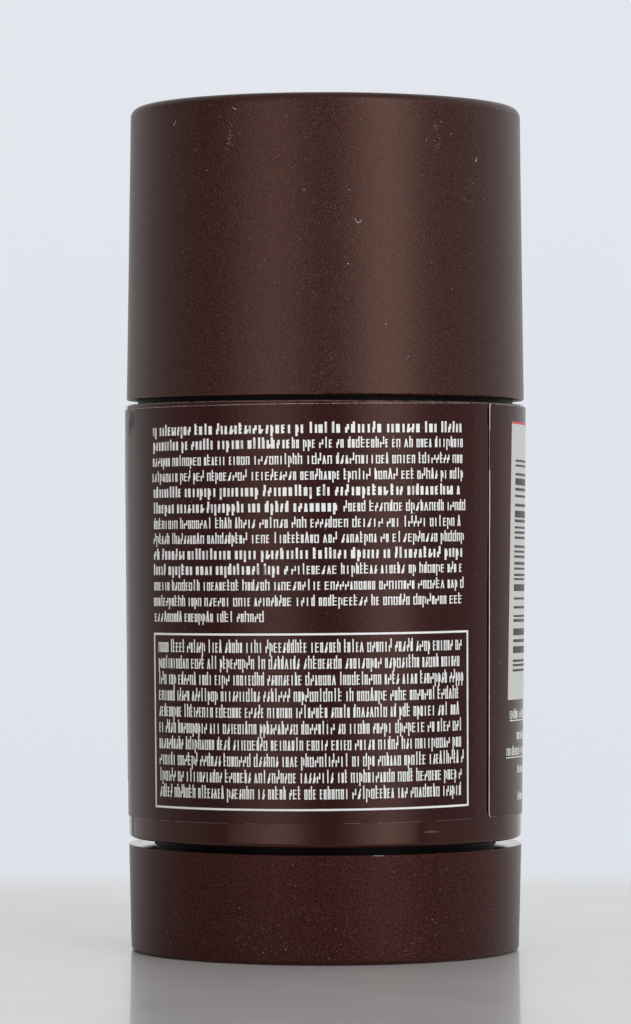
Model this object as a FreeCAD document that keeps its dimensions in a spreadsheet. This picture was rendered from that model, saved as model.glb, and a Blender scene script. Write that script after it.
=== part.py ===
import FreeCAD, Part

import math
import os

import Sketcher
from FreeCAD import Placement, Rotation, Vector

# Round twist-up deodorant stick, 50 mm across and 105 mm tall, in millimetres.
# The origin is on the floor in the middle of the base, +Z runs up through the cap,
# and the side that shows the label's text faces -Y.

os.makedirs("parts", exist_ok=True)
doc = FreeCAD.newDocument("DeodorantStick")

# Driving dimensions: word, value, meaning. Lengths are in millimetres, angles in degrees.
driving_sizes = [
    ("barrel_radius", 25.0, "outside of the barrel at its top"),
    ("barrel_taper", 0.47, "how much the barrel narrows to its foot"),
    ("barrel_height", 53.8, "outer sleeve from foot to top"),
    ("sleeve_wall", 1.4, "wall of the outer sleeve"),
    ("sleeve_shoulder", 1.4, "thickness of the ring at the sleeve's top"),
    ("sleeve_fit", 0.05, "sleeve to tube, a bonded fit"),
    ("sleeve_top_round", 0.3, "rounding of the sleeve's top edge"),
    ("sleeve_foot_round", 0.5, "rounding of the sleeve's foot"),
    ("sleeve_rib_count", 6, "centring ribs inside the sleeve"),
    ("sleeve_rib_width", 1.0, "thickness of a centring rib"),
    ("sleeve_rib_setback", 2.0, "sleeve's foot to the ribs"),
    ("tube_space", 2.5, "hollow between the sleeve's wall and the tube, at the top"),
    ("tube_wall", 1.1, "wall of the inner tube"),
    ("tube_floor", 1.4, "floor of the inner tube"),
    ("tube_rib_count", 4, "ribs that keep the elevator from turning"),
    ("tube_rib_width", 1.2, "thickness of a tube rib"),
    ("tube_rib_depth", 0.9, "how far a tube rib stands into the bore"),
    ("tube_rib_setback", 2.5, "tube's rim down to the top of the ribs"),
    ("flange_thickness", 1.8, "collar on which the cap sits"),
    ("flange_clearance", 0.3, "collar to the inside of the cap"),
    ("neck_height", 6.6, "neck above the collar"),
    ("neck_bead", 0.2, "how far the cap's bead stands out of the neck"),
    ("neck_bead_level", 2.6, "collar's top to the lower edge of the bead"),
    ("neck_bead_height", 1.4, "height of the bead"),
    ("rim_round", 0.4, "rounding of the tube's rim"),
    ("catch_depth", 0.9, "how far the retaining catch stands out of the tube"),
    ("catch_height", 1.2, "height of the retaining catch"),
    ("catch_clearance", 0.2, "catch to the lip above it"),
    ("cap_gap", 0.6, "open gap between the barrel and the cap"),
    ("cap_setback", 0.15, "how far the cap's rim lies inside the barrel's top"),
    ("cap_taper", 0.5, "how much the cap narrows to its top"),
    ("cap_height", 36.5, "cap from rim to top"),
    ("cap_wall", 1.1, "side wall of the cap"),
    ("cap_top", 1.4, "top wall of the cap"),
    ("cap_edge_round", 1.2, "outer rounding of the cap's top edge"),
    ("cap_inner_round", 0.8, "inner rounding of the cap's top edge"),
    ("cap_rim_round", 0.25, "rounding of the cap's rim"),
    ("cap_rib_count", 12, "grip ribs inside the cap"),
    ("cap_rib_width", 0.9, "thickness of a grip rib"),
    ("cap_rib_height", 9.0, "height of a grip rib"),
    ("cap_grip", 0.1, "grip rib to the neck's bead"),
    ("wheel_gap", 0.87, "open gap between the base wheel and the barrel"),
    ("wheel_height", 13.25, "base wheel from floor to its ledge"),
    ("wheel_taper", 0.3, "how much the wheel narrows to the floor"),
    ("wheel_wall", 1.5, "side wall of the wheel"),
    ("wheel_plate", 1.6, "bottom plate of the wheel"),
    ("wheel_edge_round", 0.6, "rounding of the wheel's lower edge"),
    ("foot_depth", 0.8, "recess under the bottom plate"),
    ("foot_width", 2.6, "width of the foot ring, the lower rounding included"),
    ("lip_height", 1.2, "snap lip round the wheel's mouth"),
    ("lip_clearance", 0.25, "snap lip to the tube"),
    ("lip_edge_round", 0.15, "rounding of the ledge's outer edge"),
    ("bearing_height", 3.6, "ring that the tube's floor turns on"),
    ("bearing_radius", 14.6, "outside of the bearing ring"),
    ("bearing_wall", 1.2, "wall of the bearing ring"),
    ("wheel_rib_count", 8, "stiffening ribs on the bottom plate"),
    ("wheel_rib_width", 1.0, "thickness of a stiffening rib"),
    ("wheel_rib_height", 1.6, "height of a stiffening rib"),
    ("hub_height", 3.0, "socket that drives the spindle"),
    ("hub_wall", 2.2, "wall of the socket at its corners"),
    ("drive_radius", 3.8, "six-sided end of the spindle, at its corners"),
    ("drive_fit", 0.04, "six-sided end to its socket"),
    ("journal_radius", 4.0, "plain part of the spindle in the tube's floor"),
    ("journal_clearance", 0.08, "running clearance of the journal"),
    ("thrust_radius", 7.0, "collar of the spindle above the tube's floor"),
    ("thrust_thickness", 1.2, "thickness of that collar"),
    ("thrust_clearance", 0.05, "that collar to the tube's floor"),
    ("screw_core", 3.0, "radius of the screw's core"),
    ("thread_depth", 1.2, "height of the thread above the core"),
    ("thread_pitch", 4.0, "rise of the elevator in one turn"),
    ("thread_root", 2.0, "width of the thread at the core"),
    ("thread_crest", 1.1, "width of the thread at its crest"),
    ("thread_clearance", 0.3, "screw to nut, all round"),
    ("thread_runout", 0.6, "plain core between the collar and the thread"),
    ("thread_bite", 0.4, "how deep a thread is rooted in its core or nut"),
    ("screw_tip", 1.2, "plain end of the screw above the thread"),
    ("screw_drop", 5.8, "tube's rim down to the top of the screw"),
    ("glide", 0.3, "elevator to the tube, and elevator to the spindle's collar"),
    ("disc_thickness", 1.4, "elevator's disc"),
    ("skirt_height", 3.2, "wiper round the elevator's disc"),
    ("skirt_wall", 0.9, "wall of the wiper"),
    ("nut_wall", 2.0, "wall of the elevator's nut"),
    ("nut_height", 9.5, "elevator's nut"),
    ("nut_turns", 1.0, "turns of the thread in the nut"),
    ("fin_count", 4, "fins that hold the product"),
    ("fin_width", 1.2, "thickness of a fin"),
    ("fin_height", 7.0, "height of a fin above the disc"),
    ("fin_setback", 3.4, "fin's end to the inside of the wiper"),
    ("product_shrink", 0.1, "product to the line of the wiper"),
    ("product_proud", 0.2, "edge of the dome above the tube's rim"),
    ("dome_height", 1.8, "rise of the product's domed top"),
    ("dome_round", 2.0, "rounding round the dome"),
    ("channel_head", 2.0, "top of the screw to the end of its channel"),
    ("label_thickness", 0.1, "film label"),
    ("label_glue", 0.02, "adhesive between the label and the sleeve"),
    ("label_foot", 2.9, "barrel's foot to the label's lower edge"),
    ("label_head", 0.4, "barrel's top to the label's upper edge"),
    ("label_corner", 0.8, "rounding of the label's corners"),
    ("seam_angle", 7.5, "bare strip between the label's two ends"),
    ("seam_start", -34.2, "end of the bare strip, counted from +X round +Z"),
]


class Tied:
    """A size worked out from the sheet: its value, and the expression that ties it there."""

    def __init__(self, value, text):
        self.value = float(value)
        self.text = text

    def __add__(self, other):
        other = tied(other)
        return Tied(self.value + other.value, f"({self.text} + {other.text})")

    def __sub__(self, other):
        other = tied(other)
        return Tied(self.value - other.value, f"({self.text} - {other.text})")

    def __mul__(self, other):
        other = tied(other)
        return Tied(self.value * other.value, f"({self.text} * {other.text})")

    def __truediv__(self, other):
        other = tied(other)
        return Tied(self.value / other.value, f"({self.text} / {other.text})")


def tied(size):
    return size if isinstance(size, Tied) else Tied(size, str(float(size)))


class Sizes:
    """The words of the sheet as attributes, so that s.cap_height is a tied size."""


def write_sheet():
    sheet = doc.addObject("Spreadsheet::Sheet", "Sizes")
    sizes = Sizes()
    for row, (word, number, meaning) in enumerate(driving_sizes, start=1):
        sheet.set(f"A{row}", meaning)
        sheet.set(f"B{row}", str(number))
        sheet.setAlias(f"B{row}", word)
        setattr(sizes, word, Tied(number, f"Sizes.{word}"))
    doc.recompute()
    return sizes


s = write_sheet()
zero = tied(0)


# Radii and levels that several pieces share, all worked out from the sheet.
barrel_level = s.wheel_height + s.wheel_gap
cap_level = barrel_level + s.barrel_height + s.cap_gap
barrel_foot_radius = s.barrel_radius - s.barrel_taper
sleeve_inside_top = s.barrel_radius - s.sleeve_wall
sleeve_inside_foot = barrel_foot_radius - s.sleeve_wall

tube_radius = sleeve_inside_top - s.tube_space
bore_radius = tube_radius - s.tube_wall
tube_level = s.foot_depth + s.wheel_plate + s.bearing_height
flange_level = barrel_level + s.barrel_height
rim_level = flange_level + s.flange_thickness + s.neck_height

cap_rim_radius = s.barrel_radius - s.cap_setback
cap_top_radius = cap_rim_radius - s.cap_taper
cap_inside_radius = cap_rim_radius - s.cap_wall
flange_radius = cap_inside_radius - s.flange_clearance

wheel_foot_radius = barrel_foot_radius - s.wheel_taper
lip_radius = tube_radius + s.lip_clearance
socket_radius = s.drive_radius + s.drive_fit
hub_radius = socket_radius + s.hub_wall

spindle_level = s.foot_depth + s.wheel_plate
thrust_level = tube_level + s.tube_floor + s.thrust_clearance
screw_level = thrust_level + s.thrust_thickness
screw_radius = s.screw_core + s.thread_depth
thread_level = screw_level + s.thread_runout + s.thread_root / 2
channel_radius = screw_radius + s.thread_clearance

elevator_level = screw_level + s.glide
elevator_radius = bore_radius - s.glide
nut_radius = channel_radius + s.nut_wall
product_level = elevator_level + s.disc_thickness


def new_body(name, level=zero):
    """an empty sub-part whose own zero level stands at the given level"""
    body = doc.addObject("PartDesign::Body", name)
    body.Label = name
    body.Placement = Placement(Vector(0, 0, level.value), Rotation(Vector(0, 0, 1), 0))
    body.setExpression("Placement.Base.z", level.text)
    return body


def origin_feature(body, role):
    return next(feature for feature in body.Origin.OriginFeatures if feature.Role == role)


def outline(body, name, corners, domed=None):
    """closed outline in the upright plane through the axis, as (radius, height) corners;
    the side that starts at the corner numbered domed is an arc centred on the axis"""
    sketch = body.newObject("Sketcher::SketchObject", name)
    sketch.AttachmentSupport = [(origin_feature(body, "XZ_Plane"), "")]
    sketch.MapMode = "FlatFace"
    points = [Vector(radius.value, height.value, 0) for radius, height in corners]
    for index, (here, there) in enumerate(zip(points, points[1:] + points[:1])):
        side = dome_arc(here, there) if index == domed else Part.LineSegment(here, there)
        sketch.addGeometry(side, False)
    if domed is not None:
        sketch.addConstraint(Sketcher.Constraint("PointOnObject", domed, 3, -2))
    for index in range(len(points)):
        after = (index + 1) % len(points)
        sketch.addConstraint(Sketcher.Constraint("Coincident", index, 2, after, 1))
    for index, (radius, height) in enumerate(corners):
        hold_corner(sketch, index, "DistanceX", radius, -2)
        hold_corner(sketch, index, "DistanceY", height, -1)
    return sketch


def dome_arc(edge, crown):
    """arc from the dome's edge to its crown on the axis"""
    rise = crown.y - edge.y
    dome_radius = (edge.x**2 + rise**2) / (2 * rise)
    centre = Vector(0, crown.y - dome_radius, 0)
    circle = Part.Circle(centre, Vector(0, 0, 1), dome_radius)
    return Part.ArcOfCircle(circle, math.atan2(edge.y - centre.y, edge.x), math.pi / 2)


def hold_corner(sketch, index, direction, size, axis):
    """ties one coordinate of an outline's corner, or lays the corner on the axis where it is zero"""
    if size is zero:
        sketch.addConstraint(Sketcher.Constraint("PointOnObject", index, 1, axis))
        return
    constraint = Sketcher.Constraint(direction, -1, 1, index, 1, size.value)
    number = sketch.addConstraint(constraint)
    sketch.setExpression(f"Constraints[{number}]", size.text)


def turn(body, name, corners, domed=None):
    """a turned solid: the outline swept once round the axis"""
    feature = body.newObject("PartDesign::Revolution", name)
    sketch = outline(body, name + "Outline", corners, domed)
    feature.Profile = (sketch, [""])
    feature.ReferenceAxis = (sketch, ["V_Axis"])
    feature.Angle = 360
    doc.recompute()
    body.Tip = feature
    return feature


def round_edges(body, name, size, rings):
    """rounds the ring edges that lie at the given (radius, height) places"""
    base = body.Tip
    names = []
    for number, edge in enumerate(base.Shape.Edges, start=1):
        if edge.Degenerated or not isinstance(edge.Curve, Part.Circle):
            continue
        for radius, height in rings:
            same_radius = abs(edge.Curve.Radius - radius.value) < 1e-4
            same_height = abs(edge.Curve.Center.z - height.value) < 1e-4
            if same_radius and same_height:
                names.append(f"Edge{number}")
    if len(names) != len(rings):
        raise RuntimeError(f"{body.Label}: {name} found {len(names)} of {len(rings)} edges")
    fillet = body.newObject("PartDesign::Fillet", name)
    fillet.Base = (base, names)
    fillet.Radius = size.value
    fillet.setExpression("Radius", size.text)
    doc.recompute()
    body.Tip = fillet


def around(body, kind, name, corners, thickness, count):
    """upright webs or slots: an outline padded or pocketed evenly to both sides, then repeated"""
    before = body.Tip.Shape.Volume
    feature = body.newObject(kind, name)
    feature.Profile = (outline(body, name + "Outline", corners), [""])
    feature.SideType = "Symmetric"
    feature.Length = thickness.value
    feature.setExpression("Length", thickness.text)
    doc.recompute()
    grows = kind == "PartDesign::Pad"
    if (feature.Shape.Volume > before) != grows:
        raise RuntimeError(f"{body.Label}: {name} misses its solid")
    pattern = body.newObject("PartDesign::PolarPattern", name + "Pattern")
    pattern.Originals = [feature]
    pattern.Axis = (origin_feature(body, "Z_Axis"), [""])
    pattern.Angle = 360
    pattern.Occurrences = int(count.value)
    pattern.setExpression("Occurrences", count.text)
    body.Tip = pattern
    doc.recompute()


def wind_thread(body, name, corners, height, pitch):
    """a left-hand ridge: the outline carried up and round the axis"""
    before = body.Tip.Shape.Volume
    thread = body.newObject("PartDesign::AdditiveHelix", name)
    sketch = outline(body, name + "Outline", corners)
    thread.Profile = (sketch, [""])
    thread.ReferenceAxis = (sketch, ["V_Axis"])
    thread.Mode = "pitch-height-angle"
    thread.Pitch = pitch.value
    thread.Height = height.value
    thread.setExpression("Pitch", pitch.text)
    thread.setExpression("Height", height.text)
    thread.LeftHanded = True
    doc.recompute()
    if thread.Shape.Volume <= before:
        raise RuntimeError(f"{body.Label}: {name} adds nothing")
    body.Tip = thread


def drive_prism(body, kind, name, radius, height, level):
    """the six-sided drive end, or the socket that takes it"""
    prism = body.newObject(kind, name)
    prism.Polygon = 6
    prism.AttachmentSupport = [(origin_feature(body, "XY_Plane"), "")]
    prism.MapMode = "FlatFace"
    prism.Circumradius = radius.value
    prism.Height = height.value
    prism.setExpression("Circumradius", radius.text)
    prism.setExpression("Height", height.text)
    prism.setExpression("AttachmentOffset.Base.z", level.text)
    body.Tip = prism
    doc.recompute()


def make_cap():
    body = new_body("cap", cap_level)
    top_inside = s.cap_height - s.cap_top
    top_inside_radius = cap_top_radius - s.cap_wall
    turn(body, "CapShell", [
        (cap_inside_radius, zero),
        (cap_rim_radius, zero),
        (cap_top_radius, s.cap_height),
        (zero, s.cap_height),
        (zero, top_inside),
        (top_inside_radius, top_inside),
    ])
    round_edges(body, "CapTopEdge", s.cap_edge_round, [(cap_top_radius, s.cap_height)])
    round_edges(body, "CapInnerEdge", s.cap_inner_round, [(top_inside_radius, top_inside)])
    round_edges(body, "CapRim", s.cap_rim_round, [(cap_rim_radius, zero), (cap_inside_radius, zero)])
    # the ribs' lower ends sit on the tube's collar, and their faces grip the neck's bead
    rib_foot = s.flange_thickness - s.cap_gap
    rib_head = rib_foot + s.cap_rib_height
    grip_radius = tube_radius + s.neck_bead + s.cap_grip
    rooted = cap_inside_radius + s.cap_wall / 2
    around(body, "PartDesign::Pad", "GripRib", [
        (grip_radius, rib_foot),
        (rooted, rib_foot),
        (rooted, rib_head),
        (grip_radius + s.cap_grip, rib_head),
    ], s.cap_rib_width, s.cap_rib_count)
    return body


def make_inner_tube():
    body = new_body("inner_tube", tube_level)
    flange_foot = flange_level - tube_level
    flange_head = flange_foot + s.flange_thickness
    rim = rim_level - tube_level
    bead_foot = flange_head + s.neck_bead_level
    bead_head = bead_foot + s.neck_bead_height
    bead_radius = tube_radius + s.neck_bead
    catch_head = s.wheel_height - s.lip_height - s.catch_clearance - tube_level
    catch_foot = catch_head - s.catch_height
    catch_radius = tube_radius + s.catch_depth
    catch_lead = catch_foot - s.catch_depth
    turn(body, "TubeWall", [
        (s.journal_radius + s.journal_clearance, zero),
        (tube_radius, zero),
        (tube_radius, catch_lead),
        (catch_radius, catch_foot),
        (catch_radius, catch_head),
        (tube_radius, catch_head),
        (tube_radius, flange_foot),
        (flange_radius, flange_foot),
        (flange_radius, flange_head),
        (tube_radius, flange_head),
        (tube_radius, bead_foot),
        (bead_radius, bead_foot + s.neck_bead),
        (bead_radius, bead_head - s.neck_bead),
        (tube_radius, bead_head),
        (tube_radius, rim),
        (bore_radius, rim),
        (bore_radius, s.tube_floor),
        (s.journal_radius + s.journal_clearance, s.tube_floor),
    ])
    round_edges(body, "Rim", s.rim_round, [(tube_radius, rim), (bore_radius, rim)])
    rib_head = rim - s.tube_rib_setback
    around(body, "PartDesign::Pad", "GuideRib", [
        (bore_radius - s.tube_rib_depth, s.tube_floor / 2),
        (bore_radius + s.tube_wall / 2, s.tube_floor / 2),
        (bore_radius + s.tube_wall / 2, rib_head),
        (bore_radius - s.tube_rib_depth, rib_head - s.tube_rib_depth),
    ], s.tube_rib_width, s.tube_rib_count)
    return body


def make_outer_sleeve():
    body = new_body("outer_sleeve", barrel_level)
    shoulder_foot = s.barrel_height - s.sleeve_shoulder
    shoulder_inside = tube_radius + s.sleeve_fit
    turn(body, "SleeveWall", [
        (sleeve_inside_foot, zero),
        (barrel_foot_radius, zero),
        (s.barrel_radius, s.barrel_height),
        (shoulder_inside, s.barrel_height),
        (shoulder_inside, shoulder_foot),
        (sleeve_inside_top, shoulder_foot),
    ])
    round_edges(body, "SleeveTop", s.sleeve_top_round, [(s.barrel_radius, s.barrel_height)])
    round_edges(body, "SleeveFoot", s.sleeve_foot_round, [(barrel_foot_radius, zero)])
    around(body, "PartDesign::Pad", "CentringRib", [
        (shoulder_inside, s.sleeve_rib_setback),
        (sleeve_inside_foot + s.sleeve_wall / 2, s.sleeve_rib_setback),
        (sleeve_inside_top + s.sleeve_wall / 2, shoulder_foot + s.sleeve_shoulder / 2),
        (shoulder_inside, shoulder_foot + s.sleeve_shoulder / 2),
    ], s.sleeve_rib_width, s.sleeve_rib_count)
    return body


def make_wrap_label():
    body = new_body("wrap_label", barrel_level + s.label_foot)
    body.Placement = Placement(body.Placement.Base, Rotation(Vector(0, 0, 1), s.seam_start.value))
    body.setExpression("Placement.Rotation.Angle", s.seam_start.text)
    label_height = s.barrel_height - s.label_foot - s.label_head
    slope = s.barrel_taper / s.barrel_height
    foot_radius = barrel_foot_radius + slope * s.label_foot + s.label_glue
    head_radius = s.barrel_radius - slope * s.label_head + s.label_glue
    film = turn(body, "Film", [
        (foot_radius, zero),
        (foot_radius + s.label_thickness, zero),
        (head_radius + s.label_thickness, label_height),
        (head_radius, label_height),
    ])
    sweep = tied(360) - s.seam_angle
    film.Angle = sweep.value
    film.setExpression("Angle", sweep.text)
    doc.recompute()
    # the four corners are the short edges that run straight through the film
    corners = []
    for number, edge in enumerate(film.Shape.Edges, start=1):
        if edge.Length < 2 * s.label_thickness.value:
            corners.append(f"Edge{number}")
    if len(corners) != 4:
        raise RuntimeError(f"wrap_label: found {len(corners)} corners")
    fillet = body.newObject("PartDesign::Fillet", "FilmCorners")
    fillet.Base = (film, corners)
    fillet.Radius = s.label_corner.value
    fillet.setExpression("Radius", s.label_corner.text)
    body.Tip = fillet
    doc.recompute()
    return body


def make_base_wheel():
    body = new_body("base_wheel")
    plate_top = s.foot_depth + s.wheel_plate
    wall_inside_top = barrel_foot_radius - s.wheel_wall
    wall_inside_foot = wheel_foot_radius - s.wheel_wall
    lip_foot = s.wheel_height - s.lip_height
    hub_head = plate_top + s.hub_height
    bearing_head = plate_top + s.bearing_height
    bearing_inside = s.bearing_radius - s.bearing_wall
    foot_inside = wheel_foot_radius - s.foot_width
    turn(body, "WheelCup", [
        (zero, s.foot_depth),
        (foot_inside, s.foot_depth),
        (foot_inside, zero),
        (wheel_foot_radius, zero),
        (barrel_foot_radius, s.wheel_height),
        (lip_radius, s.wheel_height),
        (lip_radius, lip_foot),
        (wall_inside_top, lip_foot),
        (wall_inside_foot, plate_top),
        (s.bearing_radius, plate_top),
        (s.bearing_radius, bearing_head),
        (bearing_inside, bearing_head),
        (bearing_inside, plate_top),
        (hub_radius, plate_top),
        (hub_radius, hub_head),
        (zero, hub_head),
    ])
    round_edges(body, "WheelFoot", s.wheel_edge_round, [(wheel_foot_radius, zero)])
    round_edges(body, "WheelLedge", s.lip_edge_round, [(barrel_foot_radius, s.wheel_height)])
    drive_prism(body, "PartDesign::SubtractivePrism", "Socket", socket_radius, s.hub_height, plate_top)
    around(body, "PartDesign::Pad", "PlateRib", [
        (s.bearing_radius - s.bearing_wall / 2, plate_top - s.wheel_plate / 2),
        (wall_inside_foot + s.wheel_wall / 2, plate_top - s.wheel_plate / 2),
        (wall_inside_foot + s.wheel_wall / 2, plate_top + s.wheel_rib_height),
        (s.bearing_radius - s.bearing_wall / 2, plate_top + s.wheel_rib_height),
    ], s.wheel_rib_width, s.wheel_rib_count)
    return body


def make_spindle():
    body = new_body("spindle", spindle_level)
    shoulder = s.hub_height
    thrust_foot = thrust_level - spindle_level
    thrust_head = thrust_foot + s.thrust_thickness
    screw_head = rim_level - s.screw_drop - spindle_level
    tip_round = s.screw_core / 4
    turn(body, "SpindleShaft", [
        (zero, shoulder),
        (s.journal_radius, shoulder),
        (s.journal_radius, thrust_foot),
        (s.thrust_radius, thrust_foot),
        (s.thrust_radius, thrust_head),
        (s.screw_core, thrust_head),
        (s.screw_core, screw_head - tip_round),
        (s.screw_core - tip_round, screw_head),
        (zero, screw_head),
    ])
    drive_prism(body, "PartDesign::AdditivePrism", "DriveEnd", s.drive_radius, s.hub_height, zero)
    middle = thread_level - spindle_level
    rooted = s.screw_core - s.thread_bite
    wind_thread(body, "ScrewThread", [
        (rooted, middle - s.thread_root / 2),
        (s.screw_core, middle - s.thread_root / 2),
        (screw_radius, middle - s.thread_crest / 2),
        (screw_radius, middle + s.thread_crest / 2),
        (s.screw_core, middle + s.thread_root / 2),
        (rooted, middle + s.thread_root / 2),
    ], screw_head - s.screw_tip - middle - s.thread_root / 2, s.thread_pitch)
    return body


def make_elevator():
    body = new_body("elevator", elevator_level)
    turn(body, "Platform", [
        (channel_radius, zero),
        (elevator_radius, zero),
        (elevator_radius, s.skirt_height),
        (elevator_radius - s.skirt_wall, s.skirt_height),
        (elevator_radius - s.skirt_wall, s.disc_thickness),
        (nut_radius, s.disc_thickness),
        (nut_radius, s.nut_height),
        (channel_radius, s.nut_height),
    ])
    # the nut's ridge runs midway between two turns of the screw, clear of its flanks
    middle = thread_level + s.thread_pitch / 2 - elevator_level
    inner = s.screw_core + s.thread_clearance
    groove_at_crest = s.thread_pitch - s.thread_crest
    groove_at_core = s.thread_pitch - s.thread_root
    ridge_root = groove_at_crest / 2 - s.thread_clearance
    ridge_crest = groove_at_core / 2 - s.thread_clearance
    wind_thread(body, "NutThread", [
        (inner, middle - ridge_crest),
        (channel_radius, middle - ridge_root),
        (channel_radius + s.thread_bite, middle - ridge_root),
        (channel_radius + s.thread_bite, middle + ridge_root),
        (channel_radius, middle + ridge_root),
        (inner, middle + ridge_crest),
    ], s.thread_pitch * s.nut_turns, s.thread_pitch)
    around(body, "PartDesign::Pocket", "RibNotch", [
        (bore_radius - s.tube_rib_depth - s.glide, zero),
        (bore_radius + s.glide, zero),
        (bore_radius + s.glide, s.skirt_height + s.disc_thickness),
        (bore_radius - s.tube_rib_depth - s.glide, s.skirt_height + s.disc_thickness),
    ], s.tube_rib_width + s.glide * 2, s.tube_rib_count)
    around(body, "PartDesign::Pad", "ProductFin", fin_corners(s.disc_thickness / 2, s.disc_thickness),
           s.fin_width, s.fin_count)
    return body


def fin_corners(foot, disc_top):
    """upright outline of one fin, for the elevator that carries it and the product round it"""
    fin_end = elevator_radius - s.skirt_wall - s.fin_setback
    rooted = nut_radius - s.nut_wall / 2
    return [
        (rooted, foot),
        (fin_end, foot),
        (fin_end, disc_top + s.fin_height),
        (rooted, disc_top + s.fin_height),
    ]


def make_deodorant_stick():
    """the product is poured round the elevator's nut, wiper and fins, from the same sizes"""
    body = new_body("deodorant_stick", product_level)
    product_radius = elevator_radius - s.product_shrink
    wiper_inside = elevator_radius - s.skirt_wall
    wiper_head = s.skirt_height - s.disc_thickness
    nut_head = s.nut_height - s.disc_thickness
    edge = rim_level + s.product_proud - product_level
    crown = edge + s.dome_height
    channel_end = rim_level - s.screw_drop + s.channel_head - product_level
    turn(body, "ProductCasting", [
        (nut_radius, zero),
        (wiper_inside, zero),
        (wiper_inside, wiper_head),
        (product_radius, wiper_head),
        (product_radius, edge),
        (zero, crown),
        (zero, channel_end),
        (channel_radius, channel_end),
        (channel_radius, nut_head),
        (nut_radius, nut_head),
    ], domed=4)
    round_edges(body, "DomeEdge", s.dome_round, [(product_radius, edge)])
    around(body, "PartDesign::Pocket", "RibGroove", [
        (bore_radius - s.tube_rib_depth - s.glide, zero),
        (bore_radius + s.glide, zero),
        (bore_radius + s.glide, crown),
        (bore_radius - s.tube_rib_depth - s.glide, crown),
    ], s.tube_rib_width + s.glide * 2, s.tube_rib_count)
    around(body, "PartDesign::Pocket", "FinSlot", fin_corners(zero, zero), s.fin_width, s.fin_count)
    return body


def check_and_write(pieces):
    doc.recompute()
    for thing in doc.Objects:
        if "Invalid" in thing.State or "Error" in thing.State:
            raise RuntimeError(f"{thing.Label} failed: {thing.State}")
    for piece in pieces:
        shape = piece.Shape
        if shape.isNull() or not shape.isValid() or len(shape.Solids) != 1:
            raise RuntimeError(f"{piece.Label} is not one valid solid")
    for piece in pieces:
        piece.Shape.exportStep(f"parts/{piece.Label}.step")
        print(f"{piece.Label}: {piece.Shape.Volume / 1000:.2f} cm3")


check_and_write([
    make_cap(),
    make_inner_tube(),
    make_outer_sleeve(),
    make_wrap_label(),
    make_base_wheel(),
    make_spindle(),
    make_elevator(),
    make_deodorant_stick(),
])
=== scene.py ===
import math
import random

import bpy
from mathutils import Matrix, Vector
from mathutils.bvhtree import BVHTree


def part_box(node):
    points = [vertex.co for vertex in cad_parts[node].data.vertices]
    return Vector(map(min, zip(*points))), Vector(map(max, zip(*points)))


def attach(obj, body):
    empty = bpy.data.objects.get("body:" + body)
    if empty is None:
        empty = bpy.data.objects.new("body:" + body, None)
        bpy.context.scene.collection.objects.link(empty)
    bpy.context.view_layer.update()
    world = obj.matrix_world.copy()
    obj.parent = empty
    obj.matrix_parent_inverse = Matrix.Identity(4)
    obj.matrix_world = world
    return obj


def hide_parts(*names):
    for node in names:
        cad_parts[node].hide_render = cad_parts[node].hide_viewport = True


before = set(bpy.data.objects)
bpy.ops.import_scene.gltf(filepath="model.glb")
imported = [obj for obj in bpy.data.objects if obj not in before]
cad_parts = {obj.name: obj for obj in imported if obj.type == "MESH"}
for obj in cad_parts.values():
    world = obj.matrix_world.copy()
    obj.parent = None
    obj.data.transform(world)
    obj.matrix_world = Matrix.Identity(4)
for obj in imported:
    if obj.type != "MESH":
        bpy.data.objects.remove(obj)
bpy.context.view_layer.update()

mm = 0.001

for spare in ("Cube", "Light", "Camera"):
    if spare in bpy.data.objects:
        bpy.data.objects.remove(bpy.data.objects[spare])

# Sizes below are in millimetres and degrees. A place on the pack is an angle and a height:
# the angle is 0 on the side with the small print, -Y, and grows towards +X.


def put(tree, kind, inputs=None, **settings):
    node = tree.nodes.new(kind)
    for name, value in settings.items():
        setattr(node, name, value)
    for name, value in (inputs or {}).items():
        if isinstance(value, bpy.types.NodeSocket):
            tree.links.new(value, node.inputs[name])
        else:
            node.inputs[name].default_value = value
    return node


def calc(tree, operation, first, second=0.0, clamp=False):
    node = put(tree, "ShaderNodeMath", {0: first, 1: second}, operation=operation, use_clamp=clamp)
    return node.outputs[0]


def between(tree, value, low, high, toLow=0.0, toHigh=1.0):
    inputs = {"Value": value, "From Min": low, "From Max": high, "To Min": toLow, "To Max": toHigh}
    return put(tree, "ShaderNodeMapRange", inputs).outputs["Result"]


def blendColour(tree, factor, first, second, mode="MIX"):
    node = put(tree, "ShaderNodeMix", {0: factor, 6: first, 7: second}, data_type="RGBA", blend_type=mode)
    return node.outputs[2]


def noise(tree, place, scale, detail=2.0, roughness=0.5):
    inputs = {"Vector": place, "Scale": scale, "Detail": detail, "Roughness": roughness}
    return put(tree, "ShaderNodeTexNoise", inputs).outputs["Fac"]


def colour(red, green, blue):
    return (red, green, blue, 1.0)


# ---- camera, as the photograph was taken: far away and about half way up the pack
view = {"distance": 582.0, "toSide": -1.22, "height": 51.37, "lookUp": 0.319, "lens": 163.37}
cameraData = bpy.data.cameras.new("longLens")
cameraData.lens = view["lens"]
cameraData.sensor_width = 36.0
cameraData.clip_start = 0.01
cameraData.clip_end = 20.0
camera = bpy.data.objects.new("longLens", cameraData)
camera.location = Vector((view["toSide"], -view["distance"], view["height"])) * mm
camera.rotation_euler = (math.radians(90.0 + view["lookUp"]), 0.0, 0.0)
bpy.context.scene.collection.objects.link(camera)
bpy.context.scene.camera = camera

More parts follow.
